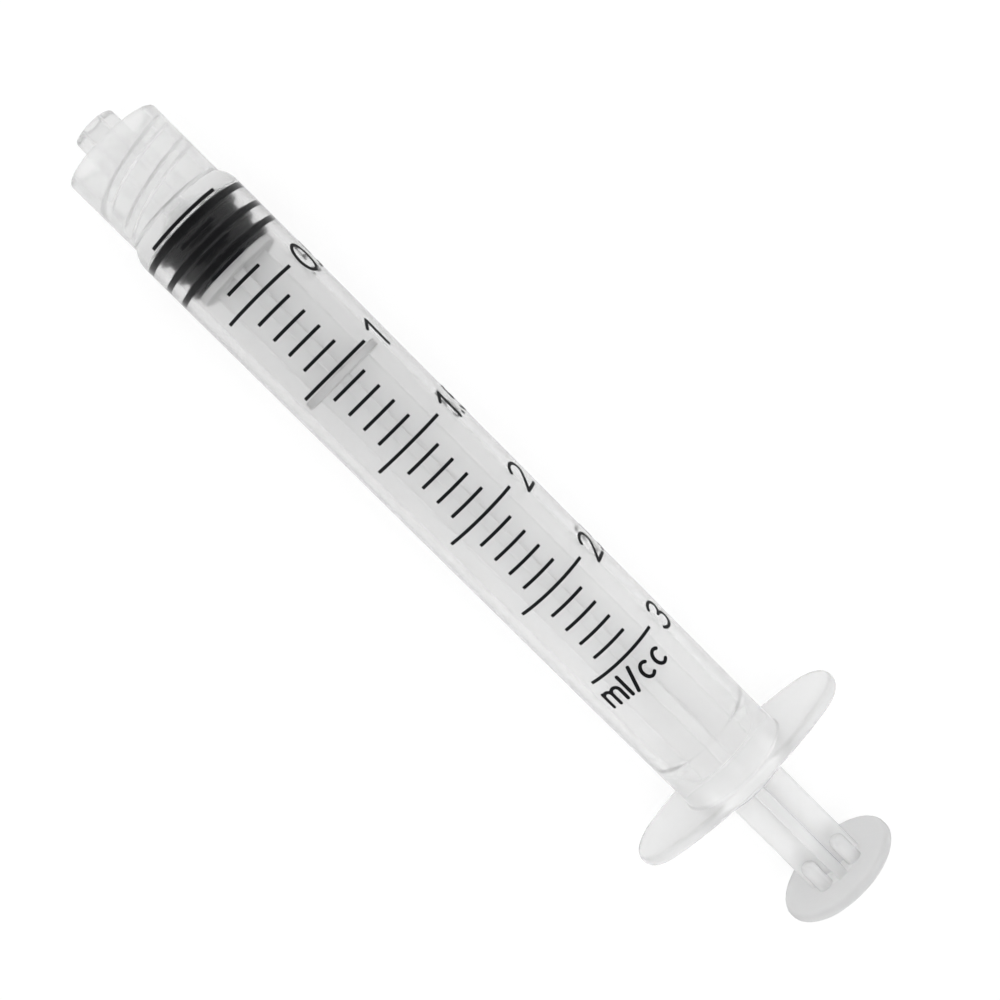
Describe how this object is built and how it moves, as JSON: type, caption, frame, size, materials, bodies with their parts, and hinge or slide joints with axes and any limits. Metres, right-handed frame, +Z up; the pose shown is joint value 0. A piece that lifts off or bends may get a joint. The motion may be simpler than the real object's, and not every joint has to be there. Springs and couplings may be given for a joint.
{
  "type": "luer lock syringe",
  "caption": "Clear 3 ml syringe with a threaded luer lock collar, a black rubber gasket that slides in the barrel, a cross-ribbed plunger rod and a printed scale.",
  "frame": {"origin": "middle of the underside of the bounding box, on the surface that the syringe lies on", "axes": "+X along the barrel from the nozzle towards the thumb rest, +Y along the finger flange, +Z up, out of the printed scale"},
  "size_m": [0.0918, 0.0236, 0.0119],
  "materials": {
    "clear_plastic": "clear, slightly milky polypropylene, smooth and glossy",
    "rod_plastic": "milky translucent polypropylene, satin",
    "black_rubber": "black rubber with a thin film of lubricant",
    "black_ink": "black printing ink, matt"
  },
  "bodies": {
    "barrel": {"barrel": "clear_plastic", "graduation_marks": "black_ink"},
    "gasket": {"gasket": "black_rubber"},
    "plunger_rod": {"plunger_rod": "rod_plastic"}
  },
  "joints": [
    {"name": "gasket_slide", "type": "slide", "parent": "barrel", "child": "gasket", "axis": [1, 0, 0], "range_m": [0, 0.05688]},
    {"name": "rod_spin", "type": "hinge", "parent": "gasket", "child": "plunger_rod", "pos_m": [0.04494, 0, 0.00595], "axis": [1, 0, 0], "continuous": true}
  ]
}
